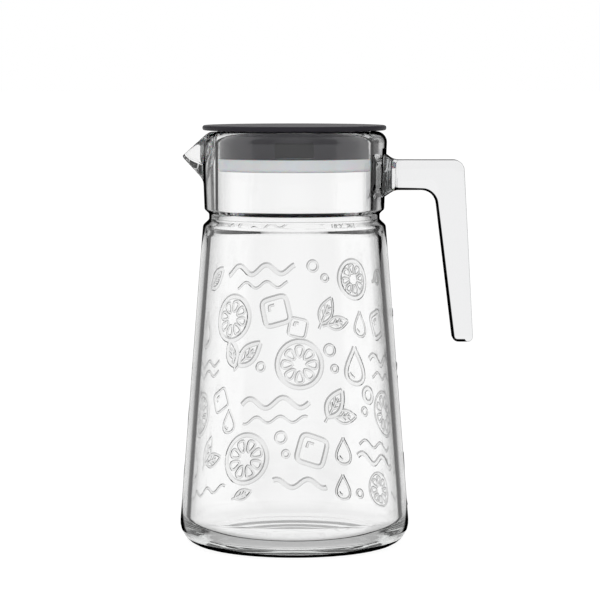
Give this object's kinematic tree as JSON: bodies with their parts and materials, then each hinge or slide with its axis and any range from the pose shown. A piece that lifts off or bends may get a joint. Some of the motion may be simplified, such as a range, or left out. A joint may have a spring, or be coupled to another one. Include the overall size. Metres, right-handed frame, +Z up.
{
  "type": "pitcher",
  "caption": "Clear glass water jug with a conical body, pinched pouring beak, open hanging handle and a dark turning plug lid with a pour window and a soft seal ring.",
  "frame": {"origin": "centre of the foot ring, on the plane the jug stands on, under the jug's axis", "axes": "+Z up along the jug's axis, -X out through the pouring beak, +X out through the handle, -Y towards the side the pour window of the lid faces at rest"},
  "size_m": [0.1675, 0.1312, 0.24],
  "materials": {
    "clear_glass": "clear pressed soda-lime glass, fire polished",
    "lid_plastic": "dark grey moulded polypropylene, fine satin",
    "seal_rubber": "milky translucent soft elastomer"
  },
  "bodies": {
    "jug": {"glass_vessel": "clear_glass", "glass_handle": "clear_glass"},
    "lid_seal": {"seal_ring": "seal_rubber"},
    "lid_cap": {"lid": "lid_plastic"}
  },
  "joints": [
    {"name": "lid_lift", "type": "slide", "parent": "jug", "child": "lid_seal", "axis": [0, 0, 1], "range_m": [0, 0.06]},
    {"name": "lid_turn", "type": "hinge", "parent": "lid_seal", "child": "lid_cap", "pos_m": [0, 0, 0.2215], "axis": [0, 0, 1], "continuous": true}
  ]
}
